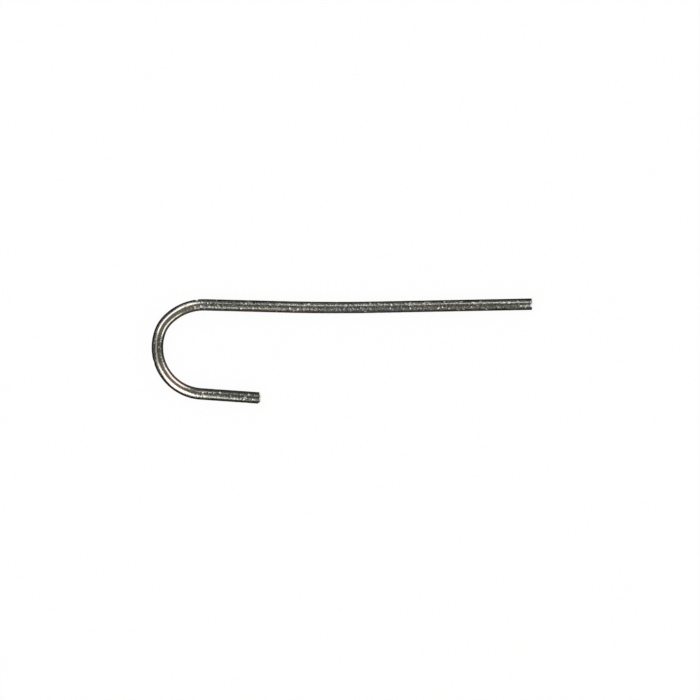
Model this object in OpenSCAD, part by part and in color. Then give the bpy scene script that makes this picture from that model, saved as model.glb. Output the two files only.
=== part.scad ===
// Watch yoke spring: one length of round spring wire bent into a J.
// It lies flat on z = 0 with its long arm along +X and the mouth of the J open to +X.
// The origin is the foot of the axis that the heel bends round, where the movement's
// post or pocket holds the spring.
// The real spring is one unbroken wire. It is drawn stretch by stretch, each stretch
// straight or bent to one radius, and each meets the next at a full cross-section.

/* [Wire] */
// Diameter of the wire
wire_d = 0.23; // [0.10:0.01:0.30]
// Bevel that breaks the sharp edge of both cut ends
end_break = 0.015; // [0.005:0.005:0.03]

/* [Short leg] */
// Length of the straight short leg, from the bend to its cut end
leg_len = 1.18; // [0.4:0.01:3]
// Angle by which the short leg splays below the X axis
leg_angle = 4; // [0:0.5:15]

/* [Bend] */
// Centreline radius of the heel, the arc next to the short leg
heel_r = 0.92; // [0.5:0.01:1.5]
// Angle that the heel turns through
heel_angle = 106.5; // [90:0.5:120]
// Centreline radius of the crown, the tightest arc of the bend
crown_r = 0.63; // [0.4:0.01:1.5]
// Angle that the crown turns through
crown_angle = 24; // [10:0.5:40]
// Centreline radius of the shoulder, the arc next to the long arm
shoulder_r = 1.01; // [0.5:0.01:1.5]
// Angle that the shoulder turns through
shoulder_angle = 47; // [30:0.5:60]

/* [Long arm] */
// Length of the straight root, where the arm leaves the bend
root_len = 1.52; // [0.4:0.01:3]
// Centreline radius of the slight bow in the middle of the arm
bow_r = 41; // [20:0.5:100]
// Angle that the bow turns the arm back up
bow_angle = 2.6; // [0.5:0.1:6]
// Length of the straight tip, up to the cut end that presses on the yoke
tip_len = 3.09; // [0.5:0.01:5]

/* [Hidden] */
$fn = 64;
drawn_steel = [0.42, 0.41, 0.38];
burnished_steel = [0.56, 0.54, 0.48];

// Moves its children to the end of a straight stretch that starts at the origin along +X.
module past_straight(length)
    translate([length, 0, 0])
        children();

// Moves its children to the end of an arc that starts at the origin along +X and turns left.
module past_left_arc(radius, turn)
    translate([0, radius, 0])
        rotate(turn)
            translate([0, -radius, 0])
                children();

// The same for an arc that turns right.
module past_right_arc(radius, turn)
    translate([0, -radius, 0])
        rotate(-turn)
            translate([0, radius, 0])
                children();

// A straight stretch of wire from the origin along +X.
module straight_wire(length)
    translate([0, 0, wire_d / 2])
        rotate([0, 90, 0])
            cylinder(h = length, d = wire_d);

// A straight stretch of wire whose far end is cut off square and bevelled.
module cut_wire(length)
    translate([0, 0, wire_d / 2])
        rotate([0, 90, 0])
            rotate_extrude()
                polygon([
                    [0, 0],
                    [wire_d / 2, 0],
                    [wire_d / 2, length - end_break],
                    [wire_d / 2 - end_break, length],
                    [0, length]
                ]);

// An arc of wire round the Z axis, which starts at an angle from +X and turns on to the left.
module arc_wire(radius, from, turn)
    rotate(from)
        translate([0, 0, wire_d / 2])
            rotate_extrude(angle = turn)
                translate([radius, 0])
                    circle(d = wire_d);

// An arc of wire that starts at the origin along +X and turns left.
module left_arc(radius, turn)
    translate([0, radius, 0])
        arc_wire(radius, -90, turn);

// An arc of wire that starts at the origin along +X and turns right.
module right_arc(radius, turn)
    translate([0, -radius, 0])
        arc_wire(radius, 90 - turn, turn);

// The start of the short leg, heading away from the bend.
module at_leg()
    rotate(-leg_angle)
        translate([0, -heel_r, 0])
            children();

// The same place, heading into the bend.
module at_heel()
    at_leg()
        rotate(180)
            children();

module at_crown()
    at_heel()
        past_right_arc(heel_r, heel_angle)
            children();

module at_shoulder()
    at_crown()
        past_right_arc(crown_r, crown_angle)
            children();

// The start of the long arm. The arm flexes about this point when its tip is pressed.
module at_arm()
    at_shoulder()
        past_right_arc(shoulder_r, shoulder_angle)
            children();

module at_bow()
    at_arm()
        past_straight(root_len)
            children();

module at_tip()
    at_bow()
        past_left_arc(bow_r, bow_angle)
            children();

// Short leg: lies in the pocket and takes the reaction of the spring.
module short_leg()
    color(drawn_steel)
        at_leg()
            cut_wire(leg_len);

// Heel: the widest arc of the bend, which seats round the post.
module heel()
    color(burnished_steel)
        at_heel()
            right_arc(heel_r, heel_angle);

// Crown: the tightest arc, at the back of the bend.
module crown()
    color(burnished_steel)
        at_crown()
            right_arc(crown_r, crown_angle);

// Shoulder: the flatter arc that leads into the long arm.
module shoulder()
    color(burnished_steel)
        at_shoulder()
            right_arc(shoulder_r, shoulder_angle);

// Arm root: the straight start of the long arm.
module arm_root()
    color(drawn_steel)
        at_arm()
            straight_wire(root_len);

// Arm bow: the slight bow that turns the arm away from the short leg.
module arm_bow()
    color(drawn_steel)
        at_bow()
            left_arc(bow_r, bow_angle);

// Arm tip: the straight end that presses on the yoke.
module arm_tip()
    color(drawn_steel)
        at_tip()
            cut_wire(tip_len);

short_leg();
heel();
crown();
shoulder();
arm_root();
arm_bow();
arm_tip();
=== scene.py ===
import math
from collections import namedtuple
from types import SimpleNamespace

import bpy
import numpy as np
from mathutils import Euler, Matrix


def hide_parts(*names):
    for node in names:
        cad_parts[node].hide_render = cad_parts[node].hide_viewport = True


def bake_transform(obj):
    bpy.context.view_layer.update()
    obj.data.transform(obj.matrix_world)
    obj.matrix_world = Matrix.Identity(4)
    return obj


# Watch yoke spring: one round steel wire bent into a J, seen from straight above on a
# pale floor. The scene is in metres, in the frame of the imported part. The wire is worked
# out in mm first.

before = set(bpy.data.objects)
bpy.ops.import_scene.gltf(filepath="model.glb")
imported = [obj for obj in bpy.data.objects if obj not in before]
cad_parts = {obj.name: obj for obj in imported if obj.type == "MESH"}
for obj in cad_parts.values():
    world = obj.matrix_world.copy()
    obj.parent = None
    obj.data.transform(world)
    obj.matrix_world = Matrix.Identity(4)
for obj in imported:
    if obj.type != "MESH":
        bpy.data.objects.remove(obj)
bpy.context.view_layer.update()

MM = 1e-3
UM = 1e-6
RNG = np.random.default_rng(7)

# The wire's stretches, from the short leg's cut end to the long arm's:
# length in mm, or radius in mm and turn in degrees, where a right turn is negative.
WIRE_R = 0.115
END_BREAK = 0.015
LEG_HEADING = -4.0
HEEL_R = 0.92
STRETCHES = [
    ("short_leg", 1.18, None, 0.0),
    ("heel", None, HEEL_R, -106.5),
    ("crown", None, 0.63, -24.0),
    ("shoulder", None, 1.01, -47.0),
    ("arm_root", 1.52, None, 0.0),
    ("arm_bow", None, 41.0, 2.6),
    ("arm_tip", 3.09, None, 0.0),
]

# The mesh: mm between its rings, points round each, and rings on each bevel and end face
RING_STEP = 0.0096
SIDES = 84
BEVEL_RINGS = 5
FACE_RINGS = 8


def direction(angle):
    return np.array([math.cos(angle), math.sin(angle)])


def left_of(angle):
    return np.array([-math.sin(angle), math.cos(angle)])


def wire_path():
    """Name, start, heading, length and signed curvature of each stretch, in mm and radians."""
    leg = math.radians(LEG_HEADING)
    length = STRETCHES[0][1]
    place = -HEEL_R * left_of(leg) + length * direction(leg)
    heading = leg + math.pi
    found = []
    for name, straight, radius, turn in STRETCHES:
        turn = math.radians(turn)
        length = straight if radius is None else radius * abs(turn)
        bend = 0.0 if radius is None else turn / length
        found.append((name, place, heading, length, bend))
        if radius is None:
            place = place + length * direction(heading)
        else:
            centre = place + left_of(heading) / bend
            heading += turn
            place = centre - left_of(heading) / bend
    return found


PATH = wire_path()
STARTS = dict(zip([p[0] for p in PATH], np.cumsum([0] + [p[3] for p in PATH])))
TOTAL = sum(p[3] for p in PATH)

# Where the bend starts and where the arm does, in mm from the short leg's cut end, as
# every place s along the wire is
HEEL = STARTS["heel"]
ARM = STARTS["arm_root"]


def along(s):
    """Centreline point and left-hand normal at place s."""
    for name, place, heading, length, bend in PATH:
        if s <= length or name == PATH[-1][0]:
            break
        s -= length
    if not bend:
        return place + s * direction(heading), left_of(heading)
    turned = heading + bend * s
    return place + left_of(heading) / bend - left_of(turned) / bend, left_of(turned)


# Stretches of the wire that wear or colour in their own way: where each rises and where it
# falls off again, in mm. Those with one pair only have no fall, and run on to the arm's end.
BURNISHED = (HEEL - 0.38, HEEL + 0.08), (ARM - 0.27, ARM + 0.08)
BEND_BACK = (HEEL + 0.97, HEEL + 1.18), (HEEL + 1.58, HEEL + 1.73)
BAND_LEANS = (HEEL, HEEL + 0.7), (ARM - 0.7, ARM - 0.1)
HEEL_END = (HEEL - 0.1, HEEL), (HEEL + 0.25, HEEL + 0.45)
HEEL_WARM = (1.15, 1.60), (2.70, 3.10)
HEEL_POLISHED = (1.50, 1.70), (2.10, 2.30)
HEEL_STREAK = (1.46, 1.56), (1.94, 2.06)
BACK_PAINTED_SHADE = (2.26, 2.42), (2.56, 2.66)
BACK_GREEN = (2.25, 2.45), (2.65, 2.85)
BACK_DARK = (2.20, 2.40), (2.80, 3.00)
SHOULDER_LIT = (3.35, 3.45), (3.68, 3.80)
SHOULDER_END = (ARM - 0.65, ARM - 0.5), (ARM - 0.15, ARM)
INNER_PALE = (1.0, 1.4), (4.6, 5.4)
LEG_GREEN = (0.50, 0.68), (0.88, 1.05)
ARM_TINTED = (4.3, 4.7), (6.0, 6.5)
TIP_TINTED = (8.3, 8.8), (9.0, 9.4)
BOW_PALE = (5.2, 5.9), (7.6, 8.8)
BOW_COOL = (6.1, 6.6), (7.6, 8.8)
TAN_SPOT_RUBBED_UNSHADED = (8.29, 8.33), (8.46, 8.50)
TAN_SPOT = (8.28, 8.33), (8.45, 8.50)
ON_ARM = ARM - 0.30, ARM + 0.05
PAST_ROOT = ARM + 1.1, ARM + 1.8
TIP_SMOOTH = 7.6, 8.8
TIP_CLEAN = 7.6, 8.6


def between(x, low, high):
    """0 up to low and 1 from high on, with a smooth rise."""
    t = min(1.0, max(0.0, (x - low) / (high - low)))
    return t * t * (3 - 2 * t)


def window(x, rise, fall):
    """1 from the end of the rise to the start of the fall, and 0 outside them."""
    return between(x, *rise) * (1 - between(x, *fall))


def ramp(x, low, high):
    """0 up to low and 1 from high on, with a straight rise, for arrays."""
    return np.clip((x - low) / (high - low), 0, 1)


# Relief of the skin. Every mark only takes metal away, so the wire stays in its gauge.
# Depths are in micrometres. Angles round the wire start at the outer side of the bend and
# rise over its top, so their cosine is the place across as a share of the radius.
PITS = 1150
DEEP_PITS = 60
PITS_LOST_ON_BEND = 0.75
DIE_LINES = 16
# how far round its middle a mark is worked out, in half lengths
MARK_REACH = 3.2

# A mark has a place along the wire, an angle round it, half its length and width in mm, a depth
# and a slant. It may bare the metal, which lifts the painted shade there and paints a glint, and
# its floor may be a facet.
Mark = namedtuple("Mark", "s phi half wide deep slant bare facet", defaults=(0.0, False, False))

# A nick across the shoulder's outer side, and a step at the back of the bend
NICKS = [
    Mark(3.830, 0.12, 0.018, 0.066, 30.0),
    Mark(2.30, 0.10, 0.030, 0.050, 7.0),
]

# Scratches of bare metal on top: a chevron and a glint on the short leg, and two strokes near the
# arm's tip. Their bare metal takes a brighter colour as a painted glint, and their floors are
# facets that lean to the back of the bend.
SCRATCHES = [
    Mark(0.327, 1.33, 0.024, 0.013, 6.5, 0.58, True, True),
    Mark(0.327, 1.10, 0.024, 0.013, 6.5, -0.64, True, True),
    Mark(0.147, 1.19, 0.015, 0.015, 4.5, 0.0, True, True),
    Mark(10.190, 1.72, 0.015, 0.024, 4.5, 2.2, True, True),
    Mark(10.225, 1.87, 0.022, 0.014, 5.0, 0.0, True, True),
]

# Knocks that bare the metal, which lifts the painted shade and paints a glint there: place along
# the wire in mm, and place across it as a share of the radius, towards the outer side of the bend
KNOCKS = [
    (0.232, -0.47), (0.806, -0.47), (1.148, -0.26),
    (1.630, -0.13), (2.563, -0.34), (2.652, 0.52),
    (3.781, -0.52), (3.845, -0.60), (3.890, -0.26), (3.974, -0.775), (4.187, -0.39),
    (4.207, 0.82), (4.227, -0.09), (4.331, -0.56), (4.524, 0.0), (4.682, -0.47),
    (4.835, 0.775), (4.920, -0.43), (5.256, 0.34), (5.400, -0.86), (5.434, 0.39),
    (5.519, -0.60), (5.632, 0.43), (5.652, -0.26), (5.736, -0.73), (5.776, -0.56),
    (5.811, -0.39), (6.028, 0.52), (6.088, 0.97), (6.147, 0.30), (6.761, 0.34),
    (6.860, -0.52), (7.157, -0.73), (7.241, 0.82), (7.256, 0.52), (7.414, 0.645),
    (7.533, 0.43), (7.637, -0.26), (7.751, 0.56), (8.013, 0.34), (8.028, -0.34),
    (8.048, 0.69), (8.112, 0.52), (8.310, 0.47), (8.399, 0.645), (8.444, -0.56),
    (8.667, -0.26), (8.721, 0.775), (8.800, -0.47), (8.998, -0.86), (9.063, 0.69),
    (9.097, -0.69), (9.201, 0.13), (9.281, 0.47), (9.360, -0.04), (9.439, 0.645),
    (9.553, -0.775), (10.172, 0.52),
]

# Lines that have rubbed smooth along the wire, placed where the lamps' highlights fall, which
# also take a brighter colour as a painted highlight: where each starts and ends, how long it
# takes to fade in and out, its half width, all in mm, its place across the wire as a share of the
# radius, and how far it is rubbed
RUB_AND_HIGHLIGHT_LINES = [
    (0.34, 1.62, 0.05, 0.35, 0.016, 0.50, 1.00),
    (2.28, 2.74, 0.10, 0.10, 0.010, 0.17, 0.50),
    (3.55, 4.20, 0.15, 0.30, 0.014, -0.46, 0.80),
    (3.90, 5.60, 0.15, 0.50, 0.017, -0.45, 0.35),
    (5.20, 7.80, 0.50, 0.60, 0.017, 0.35, 0.35),
    (7.60, 10.42, 2.20, 0.03, 0.013, 0.36, 1.00),
    (10.20, 10.42, 0.02, 0.03, 0.015, -0.27, 0.90),
]

# The skin is smoother along a wider band round the short leg's line
LEG_BAND = (0.34, HEEL + 0.2, 0.05, 0.30, 0.030, 0.48, 1.00)


def wrapped(angle):
    return (angle + math.pi) % (2 * math.pi) - math.pi


def rub_lines(S, P, lines):
    """How far these lines have smoothed the skin at places S along it and P round it."""
    share = np.zeros(S.shape)
    for start, end, fade_in, fade_out, half, side, most in lines:
        across = wrapped(P - math.acos(side)) * WIRE_R / half
        run = np.clip((S - start) / fade_in, 0, 1) * np.clip((end - S) / fade_out, 0, 1)
        share = np.maximum(share, most * run * np.exp(-across ** 2))
    return share


def smooth_noise(s, knot_step, seed):
    """Smooth noise between 0 and 1 along the wire, with knots this many mm apart."""
    knots = np.random.default_rng(seed).random(int(TOTAL / knot_step) + 3)
    x = s / knot_step
    i = np.floor(x).astype(int)
    t = x - i
    t = t * t * (3 - 2 * t)
    return knots[i] * (1 - t) + knots[i + 1] * t


def rough_field(rings, along_size, round_size):
    """Random relief over the wire's skin, smooth over these sizes in mm, with unit spread."""
    along_rate = np.fft.fftfreq(rings, RING_STEP)
    round_rate = np.fft.rfftfreq(SIDES, 2 * math.pi * WIRE_R / SIDES)
    damp = (along_rate * along_size)[:, None] ** 2 + (round_rate * round_size)[None, :] ** 2
    white = np.fft.rfft2(RNG.standard_normal((rings, SIDES)))
    field = np.fft.irfft2(white * np.exp(-2 * math.pi ** 2 * damp), s=(rings, SIDES))
    return field / field.std()


def bend_back(s):
    """1 at the back of the bend, where the pin has rubbed less and painted shade goes, and 0
    elsewhere.
    """
    return window(s, *BEND_BACK)


def burnish(s):
    """How far the forming pin has smoothed the skin: 1 on the bend, 0 on the straights."""
    return window(s, *BURNISHED) * (1 - 0.75 * bend_back(s))


def relief_share(s):
    """The arm's tip is drawn smoother than the rest."""
    return 1 - 0.5 * between(s, *TIP_SMOOTH)


def pits():
    """Small pits, fewer of them on the bend, and deeper ones on the flanks and underneath."""
    found = []
    for _ in range(PITS):
        s = RNG.uniform(0, TOTAL)
        on_bend = HEEL + 0.15 < s < ARM - 0.15
        if on_bend and RNG.random() < PITS_LOST_ON_BEND:
            continue
        found.append(Mark(s, RNG.uniform(-math.pi, math.pi), RNG.uniform(0.012, 0.028),
                          RNG.uniform(0.010, 0.016), RNG.uniform(0.5, 3.4),
                          RNG.normal(0, 0.25)))
    for _ in range(DEEP_PITS):
        pit = Mark(RNG.uniform(0, TOTAL), RNG.uniform(-math.pi, math.pi),
                   RNG.uniform(0.018, 0.045), RNG.uniform(0.012, 0.020),
                   RNG.uniform(4.0, 8.0), RNG.normal(0, 0.8))
        # the marks that stand out on top are placed one by one instead
        if math.sin(pit.phi) < 0.3:
            found.append(pit)
    return found


def knock(s, side):
    """A knock, larger and deeper towards the edges, where it is seen foreshortened."""
    return Mark(s, math.acos(side), 0.015 + 0.004 * side ** 2, 0.0135 + 0.005 * side ** 2,
                5.0 + 12.0 * side ** 4, bare=True)


def add_die_lines(depth, s, P, raw):
    """Shallow grooves that the drawing die left, which wander and fade along the wire."""
    for k in range(DIE_LINES):
        centre = RNG.uniform(-math.pi, math.pi)
        wander = 0.16 * (smooth_noise(s, 0.8, 100 + k) - 0.5)
        fade = smooth_noise(s, 0.35, 200 + k)
        wide = RNG.uniform(0.07, 0.13)
        off = wrapped(P - centre - wander[:, None]) / wide
        depth += RNG.uniform(0.3, 1.2) * fade[:, None] * np.exp(-off ** 2) * (0.4 + 0.6 * raw)


def add_mark(depth, bared_glint, mark, s, S, P):
    """Takes one mark out of the skin and, for a bare one, marks its metal as bared, where a
    painted glint goes.
    """
    near = np.abs(s - mark.s) < MARK_REACH * mark.half
    along_mark = (S[near] - mark.s) / mark.half
    round_mark = wrapped(P[near] - mark.phi) * WIRE_R
    across = (round_mark - mark.slant * (S[near] - mark.s)) / mark.wide
    dent = np.exp(-(along_mark ** 2 + across ** 2) ** 1.5)
    if mark.facet:
        lean = 1 if mark.s < HEEL else -1
        depth[near] += mark.deep * dent * (1 + lean * along_mark) / 2
    else:
        depth[near] += mark.deep * dent
    if mark.bare:
        bared_glint[near] = np.maximum(bared_glint[near], dent)


def skin_relief(s, phi):
    """Depth in micrometres, and how far metal is bared for a painted glint, at every ring s and
    side phi.
    """
    S, P = np.meshgrid(s, phi, indexing="ij")
    raw = np.array([(1 - 0.85 * burnish(x)) * relief_share(x) for x in s])[:, None]
    raw = raw * (1 - 0.8 * rub_lines(S, P, RUB_AND_HIGHLIGHT_LINES + [LEG_BAND]))
    # slow swell of the drawn gauge
    depth = np.broadcast_to(0.4 * smooth_noise(s, 0.45, 11)[:, None], S.shape).copy()
    # valleys between rubbed plateaus
    rough = 0.42 * rough_field(len(s), 0.010, 0.012) + 0.45 * rough_field(len(s), 0.028, 0.016)
    depth += raw * np.clip(0.3 + rough, 0, None)
    add_die_lines(depth, s, P, raw)
    bared_glint = np.zeros(S.shape)
    for mark in pits() + NICKS + [knock(*place) for place in KNOCKS] + SCRATCHES:
        add_mark(depth, bared_glint, mark, s, S, P)
    return depth, bared_glint


# Tears in the sheared ends: end, place across the wire, width to the inner and to the
# outer side of it, and depth, in mm. They fade over a short way along the wire.
BITES = [
    (0, -0.080, 0.050, 0.034, 0.021),
    (0, 0.012, 0.032, 0.028, 0.018),
    (0, 0.108, 0.016, 0.020, 0.034),
    (1, -0.040, 0.012, 0.042, 0.052),
]
BITE_REACH = 0.09


def end_bite(end, across):
    """How far the sheared end stands back from square at these places across it, in mm."""
    depth = np.zeros(np.shape(across))
    for bite_end, place, inner, outer, deep in BITES:
        if bite_end == end:
            half = np.where(across < place, inner, outer)
            depth += deep * np.exp(-((across - place) / half) ** 2)
    return depth


def sheared(share, phi, end):
    """1 where the end face was cut clean, 0 where it then broke off, at a share of the radius."""
    return 1 / (1 + np.exp(1.0 - 9 * share * np.sin(phi - 0.4 * end)))


def cut_relief(share, phi, end):
    """Depth of the sheared end face below its rim, in mm, at a share of the radius."""
    rough = 0.0007 * np.sin(5 * phi + 9 * share + end) * share
    broken = 0.004 * (1 - sheared(share, phi, end)) * (1 - share ** 4)
    return 0.0025 * (1 - share ** 2) + broken + rough


# Wear and painted light: what the material is told at each point of the mesh, including where the
# flanks take painted shade, where a film or painted shade dulls the skin, and where lines and
# knocks take painted highlights. Outer and inner are places across the wire as a share of the
# radius, towards that side of the bend.
WEAR_AND_PAINTED_LIGHT = ("crest", "burnish", "relief", "soil_and_shade", "rub")


def leg_film(s, inner):
    """Film on the short leg, more on its inner side; and along a line outside its middle, painted
    shade that dims the lamp's reflection beside the leg's highlight line.
    """
    film = 0.22 + 0.22 * ramp(inner, 0.2, 0.5)
    film += 0.16 * ramp(inner, 0.15, 0.25) * (1 - between(s, HEEL - 0.3, HEEL - 0.1))
    # painted shade along a line outside the middle, dimming the lamp's reflection beside the
    # highlight line
    film += 0.10 * np.exp(-((inner + 0.20) / 0.12) ** 2)
    return film * (1 - between(s, HEEL - 0.05, HEEL + 0.35))


def bend_film(s, outer):
    """Darkening on the bend: painted shade at its back, most over its outer side and edge, which
    dims the lamps' reflections there; and darker on top at its two ends.
    """
    film = bend_back(s) * (0.13 + 0.40 * outer ** 8)
    film += 0.40 * window(s, *BACK_PAINTED_SHADE) * ramp(outer, 0.28, 0.42)
    on_top = 1 - ramp(np.abs(outer + 0.06), 0.044, 0.264)
    return film + 0.13 * on_top * (window(s, *HEEL_END) + window(s, *SHOULDER_END))


def arm_film(s, inner):
    """Film on the arm: all round its root, then on its inner side, and less at its tip."""
    past_root = between(s, *PAST_ROOT)
    inner_film = 0.28 * ramp(inner, 0.02, 0.22) * (1 - 0.5 * between(s, *TIP_CLEAN))
    inner_film *= 1 - (1 - past_root) * ramp(inner, 0.25, 0.40)
    return between(s, *ON_ARM) * (0.22 * (1 - past_root) + inner_film)


def soil_and_shade(s, phi):
    """How far a film dulls the skin, on the straights and most at the short leg's end, and where
    painted shade darkens it on the leg and at the back of the bend.
    """
    outer = np.cos(phi)
    at_cut_end = 0.3 * (1 - between(s, 0.03, 0.09))
    return leg_film(s, -outer) + bend_film(s, outer) + arm_film(s, -outer) + at_cut_end


def crest(s, phi, bared_glint):
    """How far the skin is left bright rather than painted with shade: 1 on top and underneath, 0
    on the flanks, whose dark colour is painted shade in place of the dark reflection they show.
    The bright band is also rubbed smoother.
    """
    outer = np.cos(phi)
    # the bright band and the painted shade beside it lean a little to the bend's inner side,
    # after where the reflections fall
    lean = math.radians(2.0) * window(s, *BAND_LEANS)
    height = np.abs(np.sin(phi - lean))
    # the painted shade reaches further round the inner side, and a little further on the short
    # leg
    height -= 0.24 * np.clip(-outer, 0, 1) ** 8
    height -= 0.05 * (1 - between(s, HEEL - 0.3, HEEL))
    # less painted shade on the shoulder's outer side, where the lamps light it
    height += 0.045 * window(s, *SHOULDER_LIT) * ramp(outer, 0, 1 / 3)
    # less painted shade round the tan spot on the arm, which is also rubbed smoother
    spot = ramp(outer, 0.20, 0.45) * (1 - ramp(outer, 0.695, 0.82))
    height += 0.12 * window(s, *TAN_SPOT_RUBBED_UNSHADED) * spot
    # bared knocks lift the painted shade, so that they show as glints
    return height + (1 - height) * bared_glint


def wear_and_painted_light(s, phi, bared_glint):
    """The wear and painted light of the points round one ring, in the order of the list of wear
    and painted light above.
    """
    # the rubbed lines and the bared knocks lose the film and take the brighter colour of a
    # painted highlight
    rub = np.maximum(rub_lines(np.full(SIDES, s), phi, RUB_AND_HIGHLIGHT_LINES), 0.8 * bared_glint)
    return np.c_[crest(s, phi, bared_glint), np.full(SIDES, burnish(s)),
                 np.full(SIDES, relief_share(s)), soil_and_shade(s, phi) * (1 - rub), rub]


def wire_rings():
    """Ring places along the wire, and how far each ring is drawn in, both in mm."""
    steps = int(round((TOTAL - 2 * END_BREAK) / RING_STEP))
    plain = np.linspace(END_BREAK, TOTAL - END_BREAK, steps + 1)
    # the bevel runs from the wire's side to its end face
    turns = [math.pi / 2 * i / BEVEL_RINGS for i in range(1, BEVEL_RINGS + 1)]
    from_end = np.array([END_BREAK * (1 - math.sin(turn)) for turn in turns])
    bevel = np.array([END_BREAK * (1 - math.cos(turn)) for turn in turns])
    places = np.concatenate([from_end[::-1], plain, TOTAL - from_end])
    return places, np.concatenate([bevel[::-1], np.zeros(len(plain)), bevel])


def ring_points(s, x, z, shift):
    """Points x across and z up from place s on the centreline, shifted along the wire."""
    centre, normal = along(s)
    heading = np.array([normal[1], -normal[0]])
    return np.c_[centre[0] + normal[0] * x + heading[0] * shift,
                 centre[1] + normal[1] * x + heading[1] * shift, WIRE_R + z]


def side_ring(s, radius, phi, bared_glint):
    """Points, places on the straightened wire, and wear and painted light of one ring of the
    wire's side.
    """
    x, z = radius * np.cos(phi), radius * np.sin(phi)
    shift = (end_bite(0, x) * max(0.0, 1 - s / BITE_REACH) ** 2
             - end_bite(1, x) * max(0.0, 1 - (TOTAL - s) / BITE_REACH) ** 2)
    return ring_points(s, x, z, shift), np.c_[np.full(SIDES, s), x, z], wear_and_painted_light(s, phi, bared_glint)


def face_ring(end, s, share, rim, phi):
    """The same for one ring of an end face, at a share of its rim's radius."""
    x, z = rim * share * np.cos(phi), rim * share * np.sin(phi)
    inward = cut_relief(share, phi, end) + end_bite(end, x)
    shift = inward if end == 0 else -inward
    none, full = np.zeros(len(phi)), np.ones(len(phi))
    return (ring_points(s, x, z, shift), np.c_[s + shift, x, z],
            np.c_[0.72 + 0.24 * sheared(share, phi, end), none, full, none, none])


def ring_faces(first, second, to_point=False):
    """Faces between two rings, given where each starts, or between a ring and a point."""
    j = np.arange(SIDES)
    k = (j + 1) % SIDES
    if to_point:
        return np.c_[first + j, first + k, np.full(SIDES, second)].tolist()
    return np.c_[first + j, first + k, second + k, second + j].tolist()


def build_wire():
    """The wire as one mesh, with its places along the straight wire, its wear and its painted
    light.
    """
    phi = np.arange(SIDES) * 2 * math.pi / SIDES
    places, drawn_in = wire_rings()
    depth, bared_glint = skin_relief(places, phi)
    # the relief is shallower on the bevels
    relief = 0.35 + 0.65 * np.clip(np.minimum(places, TOTAL - places) / END_BREAK, 0, 1)
    radius = WIRE_R - drawn_in[:, None] - depth * 1e-3 * relief[:, None]
    rings = [side_ring(s, radius[i], phi, bared_glint[i]) for i, s in enumerate(places)]
    faces = []
    for i in range(len(places) - 1):
        faces += ring_faces(i * SIDES, (i + 1) * SIDES)
    count = len(places) * SIDES
    for end, i in ((0, 0), (1, len(places) - 1)):
        last = i * SIDES
        for f in range(1, FACE_RINGS + 1):
            sides = SIDES if f < FACE_RINGS else 1
            rings.append(face_ring(end, places[i], 1 - f / FACE_RINGS, radius[i][:sides],
                                   phi[:sides]))
            new = ring_faces(last, count, sides == 1)
            faces += new if end == 1 else [face[::-1] for face in new]
            last = count
            count += sides
    points, straight, worn_and_lit = (np.concatenate(part) for part in zip(*rings))

    mesh = bpy.data.meshes.new("spring_wire")
    mesh.from_pydata((points * MM).tolist(), [], faces)
    mesh.polygons.foreach_set("use_smooth", np.ones(len(mesh.polygons), bool))
    mesh.attributes.new("straight", "FLOAT_VECTOR", "POINT").data.foreach_set(
        "vector", (straight * MM).astype(np.float32).ravel())
    for name, values in zip(WEAR_AND_PAINTED_LIGHT, worn_and_lit.T):
        mesh.attributes.new(name, "FLOAT", "POINT").data.foreach_set(
            "value", values.astype(np.float32))
    mesh.validate()
    mesh.update()
    made = bpy.data.objects.new("spring_wire", mesh)
    bpy.context.scene.collection.objects.link(made)
    return made


# Materials
def rgb(r, g, b):
    return (r, g, b, 1.0)


BLACK, WHITE = rgb(0, 0, 0), rgb(1, 1, 1)
# bare steel, which is warm where it was burnished and cool in the middle of the arm
PLAIN = rgb(0.455, 0.46, 0.425)
PLAIN_COOL = rgb(0.45, 0.443, 0.462)
WARM = rgb(0.525, 0.50, 0.44)
WARM_TINTED = rgb(0.535, 0.482, 0.438)
# brighter colours along the rubbed lines: painted highlights on the lamps' highlight lines
LEG_HIGHLIGHT_LINE = rgb(0.71, 0.71, 0.66)
ARM_HIGHLIGHT_LINE = rgb(0.54, 0.54, 0.50)
POLISHED = rgb(0.62, 0.58, 0.52)
# steel between the shiny grains
DULL = rgb(0.16, 0.163, 0.145)
DULL_COOL = rgb(0.158, 0.154, 0.164)
DULL_WARM = rgb(0.24, 0.215, 0.176)
# painted shade for the shoulders and flanks, in place of their dark reflection, from the darkest
# to the palest, and the dark of the pits
SHADE_DARKEST = rgb(0.029, 0.029, 0.024)
SHADE_DARKEST_WARM = rgb(0.040, 0.030, 0.026)
BROWN = rgb(0.10, 0.10, 0.085)
BROWN_COOL = rgb(0.10, 0.096, 0.103)
BROWN_WARM = rgb(0.14, 0.114, 0.10)
FLANK_STREAK = rgb(0.21, 0.205, 0.187)
PIT = rgb(0.04, 0.04, 0.036)
# film, whose colours the painted shade on the leg and at the back of the bend takes too
FILM_AND_SHADE = rgb(0.066, 0.068, 0.065)
FILM_CUT_END = rgb(0.075, 0.062, 0.050)
FILM_GREEN = rgb(0.050, 0.070, 0.034)
FILM_LEG_INNER = rgb(0.155, 0.16, 0.145)
# stains, which the colour is multiplied by
RED_STAIN = rgb(1.12, 0.965, 0.94)
TAN_STAIN = rgb(1.14, 1.03, 0.93)


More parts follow.
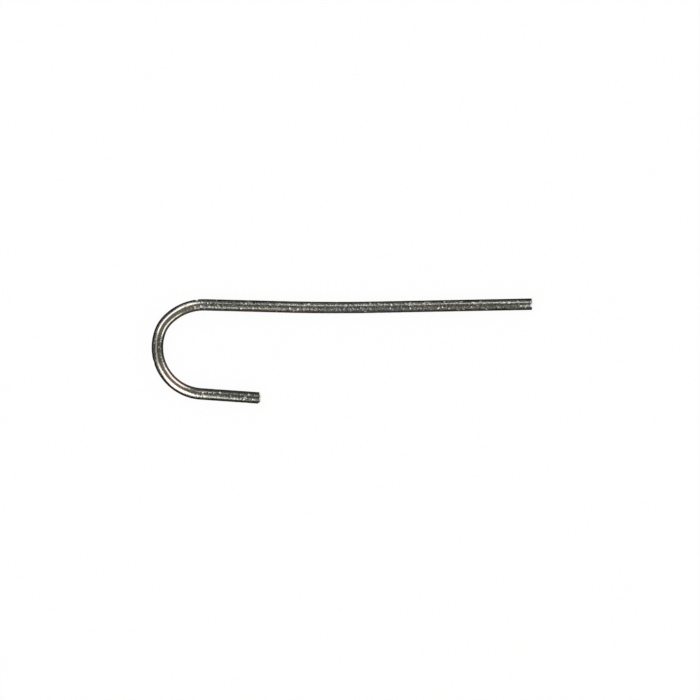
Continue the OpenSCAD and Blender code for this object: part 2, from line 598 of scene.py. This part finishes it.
class Net:
    """Short forms for building a material's nodes."""

    def __init__(self, name):
        self.material = bpy.data.materials.new(name)
        self.material.use_nodes = True
        self.tree = self.material.node_tree
        self.tree.nodes.clear()

    def node(self, kind, inputs=None, **settings):
        made = self.tree.nodes.new(kind)
        for key, value in settings.items():
            setattr(made, key, value)
        for key, value in (inputs or {}).items():
            self.put(made.inputs[key], value)
        return made

    def put(self, socket, value):
        if isinstance(value, bpy.types.NodeSocket):
            self.tree.links.new(value, socket)
        elif value is not None:
            socket.default_value = value

    def math(self, kind, a, b=None, c=None, clamp=False):
        made = self.node("ShaderNodeMath", operation=kind, use_clamp=clamp)
        for socket, value in zip(made.inputs, (a, b, c)):
            self.put(socket, value)
        return made.outputs[0]

    def times(self, first, *others):
        """The product of all of these."""
        for other in others:
            first = self.math("MULTIPLY", first, other)
        return first

    def times_plus(self, value, factor, added, clamp=False):
        """The value times the factor, plus what is added."""
        return self.math("MULTIPLY_ADD", value, factor, added, clamp)

    def without(self, share):
        """What a share leaves of 1."""
        return self.math("SUBTRACT", 1.0, share)

    def step(self, value, low, high, to_low=0.0, to_high=1.0):
        """A smooth step from to_low at low to to_high at high, where low may be above high."""
        made = self.node("ShaderNodeMapRange", {
            "Value": value, "From Min": low, "From Max": high,
            "To Min": to_low, "To Max": to_high}, interpolation_type="SMOOTHSTEP")
        return made.outputs[0]

    def past(self, place, low, high, to_low=0.0, to_high=1.0):
        """The same for a place along or across the wire, with low and high in mm."""
        return self.step(place, low * MM, high * MM, to_low, to_high)

    def window(self, place, rise, fall):
        """1 from the end of the rise to the start of the fall, in mm, and 0 outside them."""
        return self.times(self.past(place, *rise), self.past(place, *fall[::-1]))

    def noise(self, vector, size, detail=2.0, rough=0.5):
        """Noise of this size in micrometres along the wire, across it and up."""
        scaled = self.node("ShaderNodeVectorMath", operation="MULTIPLY")
        self.put(scaled.inputs[0], vector)
        self.put(scaled.inputs[1], [1 / (x * UM) for x in size])
        made = self.node("ShaderNodeTexNoise", {
            "Vector": scaled.outputs[0], "Scale": 1.0, "Detail": detail, "Roughness": rough})
        return made.outputs[0]

    def mix(self, share, a, b, kind="MIX"):
        made = self.node("ShaderNodeMix", data_type="RGBA", blend_type=kind)
        self.put(made.inputs[0], share)
        self.put(made.inputs[6], a)
        self.put(made.inputs[7], b)
        return made.outputs[2]


def steel_fields(net):
    """The places, wear and noises that the steel is made from."""
    def attribute(name, output="Fac"):
        return net.node("ShaderNodeAttribute", attribute_name=name,
                        attribute_type="GEOMETRY").outputs[output]

    at = SimpleNamespace()
    straight = attribute("straight", "Vector")
    at.place, at.side, _ = net.node("ShaderNodeSeparateXYZ", {"Vector": straight}).outputs
    at.from_middle = net.math("ABSOLUTE", at.side)
    at.inner = net.past(at.side, -0.01, -0.04)
    at.burnished = attribute("burnish")
    at.relief = attribute("relief")
    at.film = attribute("soil_and_shade")
    at.rub = attribute("rub")
    at.unburnished = net.without(at.burnished)
    at.smooth = net.times_plus(at.unburnished, at.rub, at.burnished)
    at.raw = net.without(at.smooth)

    at.line = net.noise(straight, (300, 16, 16), 2.0, 0.55)
    at.streak = net.noise(straight, (130, 26, 26), 2.0, 0.6)
    at.mottle = net.noise(straight, (31, 26, 26), 2.0, 0.6)
    at.grain = net.noise(straight, (17, 14, 14), 1.0)
    at.chatter = net.noise(straight, (6, 24, 24), 0.0)
    at.patch = net.noise(straight, (620, 240, 240), 2.0)
    at.pits = net.step(net.noise(straight, (32, 23, 23), 2.0, 0.6), 0.60, 0.70)

    # the rubbed band, the painted shade on the shoulders beside it and the flanks have ragged
    # borders
    waver = net.times_plus(at.burnished, -0.11, 0.20)
    edge = attribute("crest")
    for noise in (at.streak, at.mottle):
        edge = net.times_plus(net.math("SUBTRACT", noise, 0.5), waver, edge)
    # the rubbed band is left unshaded; outside it the shoulders and, lighter, the flanks take
    # painted shade
    at.rubbed = net.step(edge, 0.69, 0.83)
    at.flank = net.step(edge, 0.42, 0.26)
    at.tone = net.times_plus(at.smooth, 0.85, net.step(at.mottle, 0.44, 0.58), clamp=True)

    at.cool = net.times(net.past(at.side, 0.03, -0.035), net.window(at.place, *BOW_COOL))
    # a heat tint on the inner side of the arm, on both sides of the cool stretch
    tinted = net.math("ADD", net.window(at.place, *ARM_TINTED),
                      net.window(at.place, *TIP_TINTED))
    at.blush = net.times(tinted, at.inner)
    warmth = net.times(net.math("SUBTRACT", at.smooth, at.rub), 0.8)
    patches = net.times(net.step(at.patch, 0.46, 0.76), at.inner)
    warmth = net.times(net.math("ADD", warmth, patches, clamp=True),
                       net.times_plus(at.cool, -0.7, 1.0))
    at.warmth = net.times_plus(at.blush, 0.6, warmth, clamp=True)
    return at


def rubbed_colour(net, at):
    """Colour of the rubbed band: shiny grains in a duller skin."""
    tinted = net.math("MAXIMUM", net.window(at.place, *HEEL_WARM), at.blush)
    warm = net.mix(tinted, WARM, WARM_TINTED)
    shiny = net.mix(at.warmth, net.mix(at.cool, PLAIN, PLAIN_COOL), warm)
    # the rubbed lines and bared knocks take a brighter colour, a painted highlight
    line = net.mix(net.past(at.place, 1.3, 3.5), LEG_HIGHLIGHT_LINE, ARM_HIGHLIGHT_LINE)
    shiny = net.mix(at.rub, shiny, line)
    heel_top = net.times(net.window(at.place, *HEEL_POLISHED),
                         net.past(at.from_middle, 0.045, 0.015))
    shiny = net.mix(heel_top, shiny, POLISHED)
    dull = net.mix(at.warmth, net.mix(at.cool, DULL, DULL_COOL), DULL_WARM)
    return net.mix(at.tone, dull, shiny)


def painted_shade_colour(net, at):
    """Painted shade on the dark shoulders, and on the lighter streaked flanks below them, in
    place of the dark reflection they show.
    """
    darkest_shade = net.mix(at.warmth, SHADE_DARKEST, SHADE_DARKEST_WARM)
    brown = net.mix(at.warmth, net.mix(at.cool, BROWN, BROWN_COOL), BROWN_WARM)
    # the painted shade is paler on the bow and the bend's inner side, but not at the back of the
    # bend
    inner_pale = net.times(net.window(at.place, *INNER_PALE),
                           net.without(net.window(at.place, *BACK_DARK)), at.inner, 0.40)
    pale = net.times_plus(net.window(at.place, *BOW_PALE), 0.35,
                          net.step(at.line, 0.5, 0.75), clamp=True)
    dark = net.mix(net.math("ADD", pale, inner_pale, clamp=True), darkest_shade, brown)
    return net.mix(at.flank, dark, net.mix(net.step(at.line, 0.38, 0.62), brown, FLANK_STREAK))


def film_colour(net, at):
    """Colour of the film and of the painted shade that goes with it: brownish at the short leg's
    cut end, greenish in two places on top.
    """
    film = net.mix(net.past(at.place, 0.06, 0.14), FILM_CUT_END, FILM_AND_SHADE)
    green = net.times_plus(net.window(at.place, *BACK_GREEN), 0.6,
                           net.window(at.place, *LEG_GREEN))
    green = net.times(green, net.past(at.from_middle, 0.090, 0.070))
    film = net.mix(green, film, FILM_GREEN)
    leg_inner = net.times(at.inner, net.past(at.place, 1.20, 1.00),
                          net.past(at.side, -0.078, -0.062), 0.4)
    return net.mix(leg_inner, film, FILM_LEG_INNER)


def steel_colour(net, at):
    # the rubbed band's own colour, with painted shade on the shoulders and flanks
    colour = net.mix(at.rubbed, painted_shade_colour(net, at), rubbed_colour(net, at))
    colour = net.mix(net.times(at.pits, at.raw), colour, PIT)
    # a reddish streak on the top of the heel, and a tan spot on the arm's outer side
    streak = net.times(net.window(at.place, *HEEL_STREAK),
                       net.window(at.side, (-0.052, -0.036), (0.005, 0.030)))
    spot = net.times(net.window(at.place, *TAN_SPOT), net.past(at.side, 0.015, 0.035))
    colour = net.mix(streak, colour, RED_STAIN, "MULTIPLY")
    colour = net.mix(spot, colour, TAN_STAIN, "MULTIPLY")
    # the film, and the painted shade in its colour
    return net.mix(at.film, colour, film_colour(net, at))


def steel_height(net, at):
    """Height of the finest relief, in micrometres."""
    height = net.times(at.mottle, 1.8)
    height = net.times_plus(at.streak, 0.8, height)
    height = net.times_plus(at.line, 0.6, height)
    height = net.times_plus(at.pits, -1.6, height)
    height = net.times(height, net.times_plus(at.raw, 0.7, 0.3), at.relief)
    height = net.times_plus(at.grain, 0.75, height)
    # cross ripples break the light up along the rubbed lines, most on the short leg
    ripple = net.times(net.past(at.place, 1.2, 3.5, 3.4, 2.3),
                       net.past(at.place, 0.34, 0.40, 0.6, 1.0))
    ripple = net.times_plus(net.times(at.rub, at.unburnished), ripple, net.times(at.raw, 0.25))
    return net.times_plus(at.chatter, ripple, height)


def steel():
    """Drawn steel: bright and smoother where it has rubbed, with painted shade on its shoulders
    and flanks in place of their dark reflection, and dark oxide in its pits.
    """
    net = Net("drawn_spring_steel")
    at = steel_fields(net)
    rough = net.times_plus(at.tone, -0.05, 0.34)
    rough = net.times_plus(at.smooth, -0.02, rough)
    rough = net.times_plus(at.rubbed, -0.12, rough)
    bump = net.node("ShaderNodeBump", {
        "Strength": 1.0, "Distance": UM, "Height": steel_height(net, at)})
    shader = net.node("ShaderNodeBsdfPrincipled", {
        "Base Color": steel_colour(net, at), "Metallic": 1.0, "Roughness": rough,
        "Specular Tint": BLACK, "Normal": bump.outputs[0]})
    net.node("ShaderNodeOutputMaterial", {"Surface": shader.outputs[0]})
    return net.material


wire = build_wire()
wire.data.materials.append(steel())
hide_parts(*[name for name, *_ in STRETCHES])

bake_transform(wire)


# Floor: it lies off centre, so that the seam between its two triangles isn't under the
# spring
FLOOR_LEFT, FLOOR_RIGHT, FLOOR_HALF = -0.5, 0.7, 0.6
FLOOR_COLOUR = rgb(0.93, 0.93, 0.925)
# how much of its brightness to the camera is its own, and how near the wire shades that
FLOOR_OWN = 0.95
FLOOR_SHADE = 0.045 * MM


def floor():
    net = Net("pale_floor")
    path = net.node("ShaderNodeLightPath").outputs
    seen = net.math("MAXIMUM", path["Is Camera Ray"], path["Is Glossy Ray"])
    seen = net.math("MAXIMUM", seen, path["Is Transmission Ray"])
    lit = net.node("ShaderNodeBsdfDiffuse", {"Color": FLOOR_COLOUR})
    # the gap under the wire is shaded too
    shade = net.node("ShaderNodeAmbientOcclusion", {"Distance": FLOOR_SHADE}, samples=8)
    own = net.node("ShaderNodeEmission", {"Color": WHITE, "Strength": shade.outputs["AO"]})
    both = net.node("ShaderNodeMixShader", {0: net.times(seen, FLOOR_OWN)})
    net.put(both.inputs[1], lit.outputs[0])
    net.put(both.inputs[2], own.outputs[0])
    net.node("ShaderNodeOutputMaterial", {"Surface": both.outputs[0]})
    mesh = bpy.data.meshes.new("floor")
    mesh.from_pydata([(FLOOR_LEFT, -FLOOR_HALF, 0), (FLOOR_RIGHT, -FLOOR_HALF, 0),
                      (FLOOR_RIGHT, FLOOR_HALF, 0), (FLOOR_LEFT, FLOOR_HALF, 0)],
                     [], [(0, 1, 2, 3)])
    made = bpy.data.objects.new("floor", mesh)
    made.data.materials.append(net.material)
    bpy.context.scene.collection.objects.link(made)


floor()


# Light: four soft boxes round the object, a spot, a strip, and a dimmer studio above.
# Each lamp has a name, azimuth, angle from straight up, width, height and roll in degrees
# as seen from the spring, and radiance.
LAMPS = [
    ("box_left_front", 232.5, 43.8, 43, 47.5, -37, 2.3),
    ("box_left_back", 127.2, 42.6, 54.4, 31, -19, 2.2),
    ("box_right_back", 45.3, 62.6, 44, 35, -28, 1.95),
    ("box_right_front", 322, 60.8, 44.6, 23.5, -3, 2.2),
    ("spot_left", 186, 21, 9, 8, 0, 1.6),
    ("strip_right", 354.5, 61.2, 51, 9, 0, 0.83),
]
LAMP_DISTANCE = 0.20
LAMP_CENTRE_X = 2.5 * MM

# The studio's colour by height, from the horizon at 0 to straight up at 1
STUDIO = [
    (0.0, WHITE),
    (0.13, WHITE),
    (0.24, rgb(0.16, 0.16, 0.144)),
    (0.40, rgb(0.175, 0.175, 0.1575)),
    (0.60, rgb(0.22, 0.22, 0.198)),
    (0.90, rgb(0.22, 0.22, 0.198)),
    (1.0, rgb(0.21, 0.21, 0.187)),
]


def soft_box(name, azimuth, zenith, wide, high, roll, radiance):
    a, z = math.radians(azimuth), math.radians(zenith)
    lamp = bpy.data.lights.new(name, "AREA")
    lamp.shape = "RECTANGLE"
    lamp.size = 2 * LAMP_DISTANCE * math.tan(math.radians(wide / 2))
    lamp.size_y = 2 * LAMP_DISTANCE * math.tan(math.radians(high / 2))
    lamp.energy = radiance * math.pi * lamp.size * lamp.size_y
    made = bpy.data.objects.new(name, lamp)
    made.location = (LAMP_DISTANCE * math.sin(z) * math.cos(a) + LAMP_CENTRE_X,
                     LAMP_DISTANCE * math.sin(z) * math.sin(a), LAMP_DISTANCE * math.cos(z))
    facing = Euler((z, 0, a + math.pi / 2)).to_matrix()
    made.rotation_euler = (facing @ Matrix.Rotation(math.radians(-roll), 3, "Z")).to_euler()
    bpy.context.scene.collection.objects.link(made)


def studio():
    made = bpy.data.worlds.new("studio")
    made.use_nodes = True
    tree = made.node_tree
    tree.nodes.clear()
    place = tree.nodes.new("ShaderNodeTexCoord")
    split = tree.nodes.new("ShaderNodeSeparateXYZ")
    tree.links.new(place.outputs["Generated"], split.inputs[0])
    colours = tree.nodes.new("ShaderNodeValToRGB")
    elements = colours.color_ramp.elements
    elements[0].position, elements[0].color = STUDIO[0]
    elements[1].position, elements[1].color = STUDIO[-1]
    for position, colour in STUDIO[1:-1]:
        elements.new(position).color = colour
    tree.links.new(split.outputs["Z"], colours.inputs[0])
    back = tree.nodes.new("ShaderNodeBackground")
    tree.links.new(colours.outputs[0], back.inputs[0])
    out = tree.nodes.new("ShaderNodeOutputWorld")
    tree.links.new(back.outputs[0], out.inputs[0])
    bpy.context.scene.world = made


for lamp_row in LAMPS:
    soft_box(*lamp_row)
studio()

# Camera: straight above, the long arm level
LENS, SENSOR, VIEW_WIDTH = 360.0, 36.0, 13.86 * MM
CAMERA_X, CAMERA_Y = 2.894 * MM, -0.049 * MM
lens = bpy.data.cameras.new("camera")
lens.lens = LENS
lens.sensor_width = SENSOR
lens.clip_start = 0.001
lens.clip_end = 10.0
camera = bpy.data.objects.new("camera", lens)
camera.location = (CAMERA_X, CAMERA_Y, WIRE_R * MM + VIEW_WIDTH * LENS / SENSOR)
bpy.context.scene.collection.objects.link(camera)
bpy.context.scene.camera = camera
bpy.context.scene.view_settings.view_transform = "Standard"
